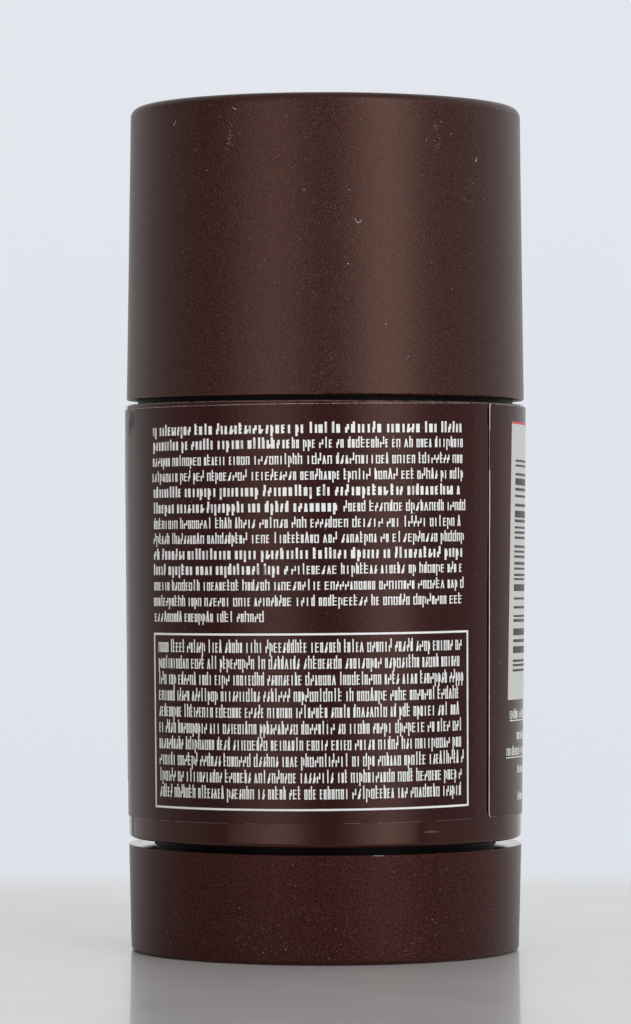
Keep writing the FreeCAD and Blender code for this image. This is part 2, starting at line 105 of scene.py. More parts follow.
# ---- light tent: two tall soft panels in front, pale walls at the sides and behind
tent = {
    "level": 1.5,
    "rampTop": 2.0,          # brightness that the ramp's white stands for
    "walls": [  # direction from the camera's side, brightness
        (-180.0, 0.60), (-165.0, 0.60), (-158.5, 0.54), (-157.0, 0.06), (-154.5, 0.06), (-153.0, 0.42),
        (-124.0, 0.36), (-100.0, 0.29), (-77.0, 0.23), (-63.0, 0.13), (-58.6, 0.12), (-57.4, 0.45),
        (-53.0, 0.52), (-42.0, 0.83), (-30.5, 1.22), (-22.0, 1.06), (-16.0, 0.76), (-8.0, 0.27),
        (-1.5, 0.10), (5.0, 0.12), (12.8, 0.38), (20.0, 0.88), (28.0, 1.42), (37.0, 1.86),
        (47.0, 1.34), (53.5, 0.68), (57.5, 0.12), (63.0, 0.34), (80.0, 0.30), (124.0, 0.41),
        (153.0, 0.50), (165.0, 0.60),
    ],
    "lean": 0.34,            # the left panel is brighter low down, the right one high up
    "leanReach": 14.0,
    "sideChange": (0.47, 0.54),      # share of the way round where left turns into right
    "frontFades": (115.0, 150.0),
    "warm": colour(1.005, 0.980, 0.968),
    "plain": colour(0.980, 0.995, 1.010),
    "cool": colour(0.983, 1.000, 0.996),
    "ceilingFades": (38.0, 58.0),
    "ceiling": 0.30,
    "horizon": (-0.05, 0.09),
    "backdrop": colour(0.770, 0.795, 0.845),
    "lowBackdrop": colour(0.735, 0.765, 0.820),
}
world = bpy.data.worlds.new("lightTent")
bpy.context.scene.world = world
world.use_nodes = True
tree = world.node_tree
tree.nodes.clear()
direction = put(tree, "ShaderNodeTexCoord").outputs["Generated"]
parts = put(tree, "ShaderNodeSeparateXYZ", {0: direction}).outputs
towards = calc(tree, "MULTIPLY", parts["Y"], -1.0)
bearing = calc(tree, "ARCTAN2", parts["X"], towards)
aroundTent = between(tree, bearing, -math.pi, math.pi)
walls = put(tree, "ShaderNodeValToRGB", {"Fac": aroundTent})
stops = walls.color_ramp.elements
for number, (angle, level) in enumerate(tent["walls"]):
    position = (angle + 180.0) / 360.0
    stop = stops[number] if number < 2 else stops.new(position)
    stop.position = position
    grey = level / tent["rampTop"]
    stop.color = (grey, grey, grey, 1.0)
wallLevel = calc(tree, "MULTIPLY", walls.outputs["Color"], tent["rampTop"])
elevation = calc(tree, "ARCSINE", parts["Z"])
ceilingFrom, ceilingTo = [math.radians(angle) for angle in tent["ceilingFades"]]
wallShare = between(tree, elevation, ceilingFrom, ceilingTo, 1.0, 0.0)
leanReach = math.radians(tent["leanReach"])
rise = between(tree, elevation, -leanReach, leanReach, -1.0, 1.0)
frontFrom, frontTo = [math.radians(angle) for angle in tent["frontFades"]]
front = between(tree, calc(tree, "ABSOLUTE", bearing), frontFrom, frontTo, 1.0, 0.0)
side = calc(tree, "MULTIPLY", between(tree, aroundTent, *tent["sideChange"], -1.0, 1.0), front)
lean = calc(tree, "MULTIPLY", rise, side)
leaned = calc(tree, "ADD", 1.0, calc(tree, "MULTIPLY", lean, tent["lean"]))
tentLevel = calc(tree, "MULTIPLY", calc(tree, "MULTIPLY", wallLevel, leaned), wallShare)
ceilingLevel = calc(tree, "MULTIPLY", calc(tree, "SUBTRACT", 1.0, wallShare), tent["ceiling"])
lit = calc(tree, "MULTIPLY", calc(tree, "ADD", tentLevel, ceilingLevel), tent["level"])
glow = blendColour(tree, between(tree, side, -1.0, 0.0), tent["warm"], tent["plain"])
glow = blendColour(tree, between(tree, side, 0.0, 1.0), glow, tent["cool"])
light = put(tree, "ShaderNodeBackground", {"Color": glow, "Strength": lit})
upwards = between(tree, parts["Z"], *tent["horizon"])
backdrop = blendColour(tree, upwards, tent["lowBackdrop"], tent["backdrop"])
pale = put(tree, "ShaderNodeBackground", {"Color": backdrop, "Strength": 1.0})
isCamera = put(tree, "ShaderNodeLightPath").outputs["Is Camera Ray"]
both = put(tree, "ShaderNodeMixShader", {0: isCamera, 1: light.outputs[0], 2: pale.outputs[0]})
put(tree, "ShaderNodeOutputWorld", {"Surface": both.outputs[0]})
bpy.context.scene.view_settings.view_transform = "Standard"
print("camera and light tent are set")

# ---- the glossy white table under the pack, which fades into the backdrop
table = {
    "radius": 420.0, "fadeStart": 96.0, "fadeEnd": 150.0, "rings": 24, "sides": 96, "ringGrowth": 1.5,
    "darker": colour(0.725, 0.71, 0.705), "lighter": colour(0.76, 0.745, 0.74),
    "roughness": (0.30, 0.37), "coat": 0.5, "coatRoughness": 0.07,
}


def tableMesh():
    points = [(0.0, 0.0, 0.0)]
    faces = []
    for ring in range(1, table["rings"] + 1):
        radius = table["radius"] * (ring / table["rings"]) ** table["ringGrowth"]
        for side in range(table["sides"]):
            turn = math.tau * side / table["sides"]
            points.append((radius * math.cos(turn) * mm, radius * math.sin(turn) * mm, 0.0))
    for side in range(table["sides"]):
        following = (side + 1) % table["sides"]
        faces.append((0, 1 + side, 1 + following))
        for ring in range(table["rings"] - 1):
            inner = 1 + ring * table["sides"]
            outer = inner + table["sides"]
            faces.append((inner + side, outer + side, outer + following, inner + following))
    mesh = bpy.data.meshes.new("table")
    mesh.from_pydata(points, [], faces)
    return mesh


def tableMaterial():
    material = bpy.data.materials.new("whiteTable")
    material.use_nodes = True
    tree = material.node_tree
    tree.nodes.clear()
    place = put(tree, "ShaderNodeTexCoord").outputs["Object"]
    cloud = noise(tree, place, 9.0, 3.0)
    shade = blendColour(tree, cloud, table["darker"], table["lighter"])
    smear = noise(tree, place, 60.0, 4.0, 0.6)
    rough = between(tree, smear, 0.3, 0.7, *table["roughness"])
    inputs = {"Base Color": shade, "Roughness": rough, "IOR": 1.5,
              "Coat Weight": table["coat"], "Coat Roughness": table["coatRoughness"]}
    plate = put(tree, "ShaderNodeBsdfPrincipled", inputs)
    reach = put(tree, "ShaderNodeVectorMath", {0: place}, operation="LENGTH").outputs["Value"]
    fade = between(tree, reach, table["fadeStart"] * mm, table["fadeEnd"] * mm)
    soft = put(tree, "ShaderNodeMapRange", {"Value": fade}, interpolation_type="SMOOTHSTEP").outputs[0]
    nothing = put(tree, "ShaderNodeBsdfTransparent")
    both = put(tree, "ShaderNodeMixShader", {0: soft, 1: plate.outputs[0], 2: nothing.outputs[0]})
    put(tree, "ShaderNodeOutputMaterial", {"Surface": both.outputs[0]})
    return material


tableTop = bpy.data.objects.new("table", tableMesh())
tableTop.data.materials.append(tableMaterial())
bpy.context.scene.collection.objects.link(tableTop)
print("table is laid")


# ---- surface effects that several finishes share
def newGroup(name, inputs, outputs):
    group = bpy.data.node_groups.new(name, "ShaderNodeTree")
    for socket, value in inputs.items():
        made = group.interface.new_socket(socket, in_out="INPUT", socket_type="NodeSocketFloat")
        made.default_value = value
    for socket in outputs:
        group.interface.new_socket(socket, in_out="OUTPUT", socket_type="NodeSocketFloat")
    start = group.nodes.new("NodeGroupInput").outputs
    end = group.nodes.new("NodeGroupOutput").inputs
    place = put(group, "ShaderNodeTexCoord").outputs["Object"]
    return group, start, end, place


def makeMouldGrain():
    # fine spark-eroded texture of the mould, with slow drifts of tone where the melt flowed
    group, start, end, place = newGroup(
        "mouldGrain", {"Grain per mm": 8.0, "Drift": 0.15, "Fleck": 0.0}, ["Height", "Tone", "Sparkle"])
    perMetre = calc(group, "MULTIPLY", start["Grain per mm"], 1000.0)
    fine = noise(group, place, perMetre, 1.0, 0.5)
    coarse = noise(group, place, calc(group, "MULTIPLY", perMetre, 0.31), 2.0, 0.6)
    height = calc(group, "ADD", calc(group, "MULTIPLY", fine, 0.85), calc(group, "MULTIPLY", coarse, 0.15))
    group.links.new(height, end["Height"])
    streak = put(group, "ShaderNodeMapping", {"Vector": place, "Scale": (1.0, 1.0, 0.22)}).outputs[0]
    drift = between(group, noise(group, streak, 70.0, 3.0, 0.55), 0.25, 0.75, -0.5, 0.5)
    flecks = noise(group, place, calc(group, "MULTIPLY", perMetre, 0.8), 1.0, 0.5)
    fleck = calc(group, "MULTIPLY", between(group, flecks, 0.3, 0.7, -0.5, 0.5), start["Fleck"])
    tone = calc(group, "ADD", calc(group, "MULTIPLY", drift, start["Drift"]), 1.0)
    tone = calc(group, "MAXIMUM", calc(group, "ADD", tone, fleck), 0.05)
    group.links.new(tone, end["Tone"])
    group.links.new(between(group, fine, 0.50, 0.72), end["Sparkle"])
    return group


def makeSpecks():
    # dust that settled on the surface: small pale grains, far apart, of mixed sizes
    group, start, end, place = newGroup(
        "specks", {"Share": 0.05, "Cell mm": 1.1, "Size mm": 0.07}, ["Dust", "Rub"])
    perMetre = calc(group, "DIVIDE", 1000.0, start["Cell mm"])
    cells = put(group, "ShaderNodeTexVoronoi", {"Vector": place, "Scale": perMetre})
    chance = put(group, "ShaderNodeSeparateColor", {0: cells.outputs["Color"]}).outputs
    chosen = calc(group, "LESS_THAN", chance["Red"], start["Share"])
    size = calc(group, "MULTIPLY", start["Size mm"], between(group, chance["Green"], 0.0, 1.0, 0.5, 1.5))
    reach = calc(group, "DIVIDE", size, start["Cell mm"])
    near = calc(group, "LESS_THAN", cells.outputs["Distance"], reach)
    strength = between(group, chance["Blue"], 0.0, 1.0, 0.35, 1.0)
    group.links.new(calc(group, "MULTIPLY", calc(group, "MULTIPLY", near, chosen), strength), end["Dust"])
    stretch = put(group, "ShaderNodeMapping", {"Vector": place, "Scale": (1.0, 1.0, 0.12)}).outputs[0]
    lines = noise(group, stretch, 900.0, 2.0, 0.7)
    patches = between(group, noise(group, place, 55.0, 2.0, 0.5), 0.60, 0.72)
    group.links.new(calc(group, "MULTIPLY", between(group, lines, 0.60, 0.72), patches), end["Rub"])
    return group


mouldGrain = makeMouldGrain()
specks = makeSpecks()


def newMaterial(name, inputs):
    material = bpy.data.materials.new(name)
    material.use_nodes = True
    tree = material.node_tree
    tree.nodes.clear()
    shader = put(tree, "ShaderNodeBsdfPrincipled", inputs)
    put(tree, "ShaderNodeOutputMaterial", {"Surface": shader.outputs[0]})
    return material, tree, shader


def useGroup(tree, group, inputs):
    node = put(tree, "ShaderNodeGroup", node_tree=group)
    for name, value in inputs.items():
        node.inputs[name].default_value = value
    return node.outputs


def bump(tree, shader, height, distance, strength=1.0):
    inputs = {"Height": height, "Distance": distance * mm, "Strength": strength}
    tree.links.new(put(tree, "ShaderNodeBump", inputs).outputs[0], shader.inputs["Normal"])


def toned(tree, base, tone):
    # a colour made lighter or darker by a value about 1
    whole = put(tree, "ShaderNodeCombineColor", {0: tone, 1: tone, 2: tone}).outputs[0]
    return blendColour(tree, 1.0, base, whole, "MULTIPLY")


def layDust(tree, shader, dust, base, rough, duller):
    # grains of dust over the base colour; the roughness comes back duller where they lie
    tree.links.new(blendColour(tree, dust["Dust"], base, satin["dust"]), shader.inputs["Base Color"])
    return calc(tree, "ADD", rough, calc(tree, "MULTIPLY", dust["Dust"], duller), clamp=True)


# ---- satin brown mouldings: cap and base wheel
satin = {
    "cap": {"base": colour(0.0150, 0.0010, 0.0016), "roughness": 0.34, "level": 0.56, "drift": 0.22,
            "tint": colour(1.0, 0.60, 0.49), "rim": 68.9},
    "wheel": {"base": colour(0.0310, 0.0074, 0.0069), "roughness": 0.31, "level": 0.20, "drift": 0.22,
              "tint": colour(1.0, 0.47, 0.37), "ledge": 13.2},
    "dust": colour(0.62, 0.60, 0.57),
    "dustRoughness": 0.4,
    "specks": {"Share": 0.035, "Cell mm": 0.9, "Size mm": 0.055},
    "pearl": colour(0.115, 0.062, 0.052),
    "pearlShare": 0.5,
    "rub": colour(0.20, 0.15, 0.13),
    "rubShare": 0.10,
    "grainPerMm": 7.0,
    "grainDepth": 0.026,
    "grainGloss": 0.12,              # how far the grain's peaks and pits differ in roughness
    "fleck": 1.3,
    "rimFade": 0.15,
    "ledgeGloss": 0.05,
    "ledgeWear": (0.34, 0.38),
}


def satinBrown(name, looks):
    inputs = {"Specular Tint": looks["tint"], "Specular IOR Level": looks["level"], "IOR": 1.5}
    material, tree, shader = newMaterial(name, inputs)
    grainInputs = {"Grain per mm": satin["grainPerMm"], "Drift": looks["drift"], "Fleck": satin["fleck"]}
    grain = useGroup(tree, mouldGrain, grainInputs)
    dust = useGroup(tree, specks, satin["specks"])
    base = toned(tree, looks["base"], grain["Tone"])
    pearly = calc(tree, "MULTIPLY", grain["Sparkle"], satin["pearlShare"])
    base = blendColour(tree, pearly, base, satin["pearl"])
    rubbed = blendColour(tree, calc(tree, "MULTIPLY", dust["Rub"], satin["rubShare"]), base, satin["rub"])
    swing = calc(tree, "MULTIPLY", grain["Height"], satin["grainGloss"])
    rough = calc(tree, "ADD", looks["roughness"] - satin["grainGloss"] / 2.0, swing)
    rough = layDust(tree, shader, dust, rubbed, rough, satin["dustRoughness"])
    strength = 1.0
    place = put(tree, "ShaderNodeTexCoord").outputs["Object"]
    height = put(tree, "ShaderNodeSeparateXYZ", {0: place}).outputs["Z"]
    if "rim" in looks:
        # the mould's parting edge at the rim has no grain
        rimTop = looks["rim"] + satin["rimFade"]
        strength = between(tree, height, looks["rim"] * mm, rimTop * mm, 0.1, 1.0)
    if "ledge" in looks:
        # the ring that the barrel nearly rubs on is polished, and worn unevenly
        worn = between(tree, noise(tree, place, 900.0, 3.0, 0.6), *satin["ledgeWear"])
        ledge = calc(tree, "MULTIPLY", calc(tree, "GREATER_THAN", height, looks["ledge"] * mm), worn)
        polished = calc(tree, "MULTIPLY", calc(tree, "SUBTRACT", rough, satin["ledgeGloss"]), ledge)
        rough = calc(tree, "SUBTRACT", rough, polished)
        strength = calc(tree, "SUBTRACT", 1.0, calc(tree, "MULTIPLY", ledge, 0.95))
    tree.links.new(rough, shader.inputs["Roughness"])
    bump(tree, shader, grain["Height"], satin["grainDepth"], strength)
    return material


# ---- gloss brown sleeve, seen as the band under the label and through the label's gap
gloss = {
    "base": colour(0.0335, 0.0105, 0.0102),
    "tint": colour(1.0, 0.64, 0.52),
    "level": 0.36,
    "roughness": 0.10,
    "rubRoughness": 0.10,
    "dustRoughness": 0.5,
    "ripple": {"Grain per mm": 0.6, "Drift": 0.12},
    "rippleDepth": 0.010,
    "specks": {"Share": 0.04, "Cell mm": 0.9, "Size mm": 0.05},
    # edge is the colour of a painted highlight along the sleeve's top edge
    "edge": colour(0.13, 0.085, 0.077),
    "edgeFrom": 67.74,
    "edgeFade": 0.06,
    "edgeHighlightGaps": (0.30, 0.52),
}


def glossBrown():
    inputs = {"Specular Tint": gloss["tint"], "Specular IOR Level": gloss["level"], "IOR": 1.5}
    material, tree, shader = newMaterial("sleeveGlossBrown", inputs)
    grain = useGroup(tree, mouldGrain, gloss["ripple"])
    dust = useGroup(tree, specks, gloss["specks"])
    base = toned(tree, gloss["base"], grain["Tone"])
    # painted highlight: the top edge is painted paler, in broken patches, for the light it catches
    place = put(tree, "ShaderNodeTexCoord").outputs["Object"]
    height = put(tree, "ShaderNodeSeparateXYZ", {0: place}).outputs["Z"]
    edge = between(tree, height, gloss["edgeFrom"] * mm, (gloss["edgeFrom"] + gloss["edgeFade"]) * mm)
    highlightGaps = between(tree, noise(tree, place, 1500.0, 3.0, 0.6), *gloss["edgeHighlightGaps"])
    paintedHighlight = calc(tree, "MULTIPLY", edge, highlightGaps)
    base = blendColour(tree, paintedHighlight, base, gloss["edge"])
    rough = calc(tree, "ADD", gloss["roughness"], calc(tree, "MULTIPLY", dust["Rub"], gloss["rubRoughness"]))
    rough = layDust(tree, shader, dust, base, rough, gloss["dustRoughness"])
    tree.links.new(rough, shader.inputs["Roughness"])
    bump(tree, shader, grain["Height"], gloss["rippleDepth"], 0.5)
    return material


# ---- inner tube, screw and elevator
# the tube's near-black colour is partly its own and partly painted shade: it is kept this dark and dull so
# that the narrow gaps at the neck and foot show black
tube = {
    "base": colour(0.0022, 0.0019, 0.0018), "level": 0.10, "roughness": (0.42, 0.55),
    "grain": {"Grain per mm": 1.2, "Drift": 0.25}, "grainDepth": 0.008,
    "specks": {"Share": 0.06, "Cell mm": 0.9, "Size mm": 0.05},
    "smear": colour(0.30, 0.29, 0.27), "smearShare": 0.03,
}
screw = {
    "base": colour(0.70, 0.70, 0.67), "level": 0.5, "roughness": (0.34, 0.46),
    "grain": {"Grain per mm": 2.5, "Drift": 0.08}, "grainDepth": 0.010,
    "glow": 0.15, "glowReach": (0.9 * mm, 0.85 * mm, 0.7 * mm),
}


def tubeBlack():
    inputs = {"Specular IOR Level": tube["level"], "IOR": 1.5}
    material, tree, shader = newMaterial("tubeBlack", inputs)
    grain = useGroup(tree, mouldGrain, tube["grain"])
    dust = useGroup(tree, specks, tube["specks"])
    base = toned(tree, tube["base"], grain["Tone"])
    smear = blendColour(tree, calc(tree, "MULTIPLY", dust["Rub"], tube["smearShare"]), base, tube["smear"])
    dusty = blendColour(tree, dust["Dust"], smear, satin["dust"])
    tree.links.new(dusty, shader.inputs["Base Color"])
    tree.links.new(between(tree, grain["Height"], 0.0, 1.0, *tube["roughness"]), shader.inputs["Roughness"])
    bump(tree, shader, grain["Height"], tube["grainDepth"])
    return material


def naturalWhite():
    inputs = {"Specular IOR Level": screw["level"], "IOR": 1.49, "Subsurface Weight": screw["glow"],
              "Subsurface Radius": screw["glowReach"], "Subsurface Scale": 1.0}
    material, tree, shader = newMaterial("naturalWhite", inputs)
    grain = useGroup(tree, mouldGrain, screw["grain"])
    tree.links.new(toned(tree, screw["base"], grain["Tone"]), shader.inputs["Base Color"])
    rough = between(tree, grain["Height"], 0.0, 1.0, *screw["roughness"])
    tree.links.new(rough, shader.inputs["Roughness"])
    bump(tree, shader, grain["Height"], screw["grainDepth"])
    return material


# ---- poured product: pale, slightly see-through wax with soft waves and tiny pits
wax = {
    "base": colour(0.78, 0.775, 0.72), "deep": colour(0.70, 0.69, 0.61), "cloudiness": (0.35, 0.70),
    "level": 0.4, "roughness": (0.40, 0.55), "waveDepth": 0.05, "pitSize": (0.05, 0.22),
    "glow": 0.30, "glowReach": (1.6 * mm, 1.3 * mm, 0.9 * mm),
}


def productWax():
    inputs = {"Specular IOR Level": wax["level"], "IOR": 1.45, "Subsurface Weight": wax["glow"],
              "Subsurface Radius": wax["glowReach"], "Subsurface Scale": 1.0}
    material, tree, shader = newMaterial("productWax", inputs)
    place = put(tree, "ShaderNodeTexCoord").outputs["Object"]
    cloud = noise(tree, place, 120.0, 4.0, 0.6)
    base = blendColour(tree, between(tree, cloud, *wax["cloudiness"]), wax["base"], wax["deep"])
    pits = put(tree, "ShaderNodeTexVoronoi", {"Vector": place, "Scale": 700.0}).outputs["Distance"]
    hollow = between(tree, pits, *wax["pitSize"])
    waves = noise(tree, place, 260.0, 3.0, 0.5)
    height = calc(tree, "ADD", calc(tree, "MULTIPLY", waves, 0.8), calc(tree, "MULTIPLY", hollow, 0.2))
    tree.links.new(base, shader.inputs["Base Color"])
    tree.links.new(between(tree, waves, 0.2, 0.8, *wax["roughness"]), shader.inputs["Roughness"])
    bump(tree, shader, height, wax["waveDepth"])
    return material


def dress(node, material):
    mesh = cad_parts[node].data
    for number in range(len(mesh.materials)):
        mesh.materials[number] = material


dress("cap", satinBrown("capSatinBrown", satin["cap"]))
dress("base_wheel", satinBrown("wheelSatinBrown", satin["wheel"]))
dress("outer_sleeve", glossBrown())
dress("inner_tube", tubeBlack())
screwMaterial = naturalWhite()
dress("spindle", screwMaterial)
dress("elevator", screwMaterial)
dress("deodorant_stick", productWax())
print("mouldings and product are finished")

# ---- wrap label
label = {
    "head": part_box("wrap_label")[1].z / mm,
    "foot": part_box("wrap_label")[0].z / mm,
    "headRadius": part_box("wrap_label")[1].x / mm,
    "taper": 0.47 / 53.8,      # the barrel gets this much thinner for each mm down
    "startAngle": 53.4,
    "startLean": 0.052,        # degrees that the first edge goes back for each mm up
    "endAngle": 406.8,
    "front": 230.5,            # middle of the label
    "rise": 0.5,               # the label's ends stand this much higher than its middle
    "level": 43.8,             # height at which the label's ends lean neither way
    "corner": 0.5,
    "filmLift": -0.03,         # the film's face lies this far inside the CAD label's face
    "filmThickness": 0.085,
    "wave": 0.008,
    "columns": 352,
    "rows": 40,
    "edgeReach": 8.0,          # degrees over which the first edge's lean dies away
}


perDegree = math.pi / 180.0 * label["headRadius"]      # mm along the label for each degree


def labelRadius(height):
    return label["headRadius"] - (label["head"] - height) * label["taper"]


def firstEdge(height):
    return label["startAngle"] + label["startLean"] * (label["level"] - height)


def onLabel(angle, height, lift=0.0):
    # round a barrel that narrows downwards, a straight strip climbs towards its two ends
    fromFront = (angle - label["front"] + 180.0) % 360.0 - 180.0
    half = 176.0
    rise = label["rise"] * ((fromFront / half) ** 2 - 0.5)
    slope = 2.0 * label["rise"] * fromFront / half ** 2
    turn = math.radians(angle - slope / perDegree ** 2 * (height - label["level"]))
    radius = labelRadius(height) + label["filmLift"] + lift
    return Vector((radius * math.sin(turn), -radius * math.cos(turn), height + rise)) * mm


def newPiece(name, mesh, body, material, smooth=False):
    for face in mesh.polygons:
        face.use_smooth = smooth
    piece = bpy.data.objects.new(name, mesh)
    bpy.context.scene.collection.objects.link(piece)
    piece.data.materials.append(material)
    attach(piece, body)
    return piece


def labelColumns():
    # angle, lowest and highest point of each column, closer together where the corners are rounded
    span = (label["endAngle"] - label["startAngle"]) * perDegree
    along = [0.0, 0.02, 0.06, 0.12, 0.20, 0.29, 0.39, 0.5]
    middle = [0.5 + (span - 1.0) * step / label["columns"] for step in range(1, label["columns"])]
    distances = along + middle + [span - d for d in reversed(along)]
    columns = []
    for distance in distances:
        fromEnd = min(distance, span - distance, label["corner"])
        drop = label["corner"] - math.sqrt(label["corner"] ** 2 - (label["corner"] - fromEnd) ** 2)
        angle = label["startAngle"] + distance / perDegree
        columns.append((angle, label["foot"] + drop, label["head"] - drop))
    return columns


def filmWave(angle, height):
    # the film isn't quite flat: it has long shallow waves
    wave = math.sin(math.radians(angle) * 5.0 + height * 0.11) * math.sin(height * 0.23 + angle * 0.05)
    return label["wave"] * (wave - 1.0)


def labelFilm():
    columns = labelColumns()
    rows = label["rows"]
    points = []
    faces = []
    for lift in (0.0, -label["filmThickness"]):
        for angle, low, high in columns:
            for row in range(rows + 1):
                height = low + (high - low) * row / rows
                wave = filmWave(angle, height) if lift == 0.0 else 0.0
                share = max(0.0, 1.0 - (angle - label["startAngle"]) / label["edgeReach"])
                shift = (firstEdge(height) - label["startAngle"]) * share
                points.append(onLabel(angle + shift, height, lift + wave))
    wide = rows + 1
    under = len(columns) * wide
    for column in range(len(columns) - 1):
        for row in range(rows):
            a = column * wide + row
            faces.append((a, a + wide, a + wide + 1, a + 1))
            faces.append((under + a + 1, under + a + wide + 1, under + a + wide, under + a))
        a = column * wide
        faces.append((a, under + a, under + a + wide, a + wide))
        a += rows
        faces.append((a, a + wide, under + a + wide, under + a))
    last = (len(columns) - 1) * wide
    for row in range(rows):
        faces.append((row, row + 1, under + row + 1, under + row))
        faces.append((last + row + 1, last + row, under + last + row, under + last + row + 1))
    mesh = bpy.data.meshes.new("label_film")
    mesh.from_pydata(points, [], faces)
    return mesh


film = {
    "base": colour(0.0208, 0.0026, 0.0032),
    "pearl": colour(0.100, 0.055, 0.050),
    "pearlShare": 0.3,
    "tint": colour(1.0, 0.65, 0.575),
    "level": 0.34,
    "roughness": 0.27,
    "dustRoughness": 0.4,
    "grain": {"Grain per mm": 7.0, "Drift": 0.16, "Fleck": 0.7},
    "grainDepth": 0.006,
    "specks": {"Share": 0.04, "Cell mm": 0.9, "Size mm": 0.05},
    "rub": colour(0.20, 0.16, 0.15),
    "rubShare": 0.06,
}


def labelFace():
    inputs = {"Specular Tint": film["tint"], "Specular IOR Level": film["level"], "IOR": 1.5}
    material, tree, shader = newMaterial("labelFace", inputs)
    grain = useGroup(tree, mouldGrain, film["grain"])
    dust = useGroup(tree, specks, film["specks"])
    base = toned(tree, film["base"], grain["Tone"])
    pearly = calc(tree, "MULTIPLY", grain["Sparkle"], film["pearlShare"])
    base = blendColour(tree, pearly, base, film["pearl"])
    rubbed = blendColour(tree, calc(tree, "MULTIPLY", dust["Rub"], film["rubShare"]), base, film["rub"])
    rough = layDust(tree, shader, dust, rubbed, film["roughness"], film["dustRoughness"])
    tree.links.new(rough, shader.inputs["Roughness"])
    bump(tree, shader, grain["Height"], film["grainDepth"])
    return material


def inkMaterial(name, base, unevenness=0.10, roughness=0.42, level=0.4):
    material, tree, shader = newMaterial(name, {"Specular IOR Level": level, "IOR": 1.5})
    place = put(tree, "ShaderNodeTexCoord").outputs["Object"]
    mottled = between(tree, noise(tree, place, 4200.0, 2.0, 0.6), 0.3, 0.7, 1.0 - unevenness, 1.0)
    tree.links.new(toned(tree, base, mottled), shader.inputs["Base Color"])
    speckle = noise(tree, place, 9000.0, 1.0)
    rough = between(tree, speckle, 0.0, 1.0, roughness - 0.05, roughness + 0.05)
    tree.links.new(rough, shader.inputs["Roughness"])
    bump(tree, shader, speckle, 0.003)
    return material


filmPiece = newPiece("label_film", labelFilm(), "barrel", labelFace(), smooth=True)
filmPiece.data.set_sharp_from_angle(angle=math.radians(30.0))
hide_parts("wrap_label")
print("label film is on")

# ---- what is printed on the label: greeked lines, a frame, and a panel of plain bars
ink = {
    "thickness": 0.018, "sink": 0.004, "degreesPerMm": 180.0 / math.pi / 24.9,
    "lowLetters": 0.76,        # height of most marks, as a share of the tallest
    "tallOnes": 0.28,
    "bar": 0.72,               # thickness of a mark's cross bar, as a share of its stem
    "kinds": (0, 0, 0, 1, 1, 2, 3, 3, 3, 4, 4, 5, 6, 6, 7),
}


def arc(length):
    return length * ink["degreesPerMm"]


class Print:
    # collects thin raised patches that follow the barrel, then turns them into one piece
    def __init__(self, sink=ink["sink"], thickness=ink["thickness"]):
        self.lifts = (-sink, thickness)
        self.points = []
        self.faces = []

    def patch(self, left, right, low, high, lean=0.0):
        # left and right are angles; lean moves the upper side along, in degrees
        steps = max(1, math.ceil((right - left) / 2.0))
        first = len(self.points)
        under, over = self.lifts
        for step in range(steps + 1):
            angle = left + (right - left) * step / steps
            self.points.append(onLabel(angle, low, under))
            self.points.append(onLabel(angle + lean, high, under))
            self.points.append(onLabel(angle + lean, high, over))
            self.points.append(onLabel(angle, low, over))
        for step in range(steps):
            a = first + step * 4
            b = a + 4
            self.faces.append((a + 3, b + 3, b + 2, a + 2))
            self.faces.append((a + 1, b + 1, b + 0, a + 0))
            self.faces.append((a + 2, b + 2, b + 1, a + 1))
            self.faces.append((a + 0, b + 0, b + 3, a + 3))
        self.faces.append((first, first + 3, first + 2, first + 1))
        last = first + steps * 4
        self.faces.append((last, last + 1, last + 2, last + 3))

    def rectangle(self, left, right, low, high, rule, lean=0.0):
        across = arc(rule)
        slope = lean / (high - low)
        self.patch(left + lean, right + lean, high - rule, high, slope * rule)
        self.patch(left, right, low, low + rule, slope * rule)
        self.patch(left, left + across, low, high, lean)
        self.patch(right - across, right, low, high, lean)

    def piece(self, name, material):
        mesh = bpy.data.meshes.new(name)
        mesh.from_pydata(self.points, [], self.faces)
        return newPiece(name, mesh, "barrel", material)


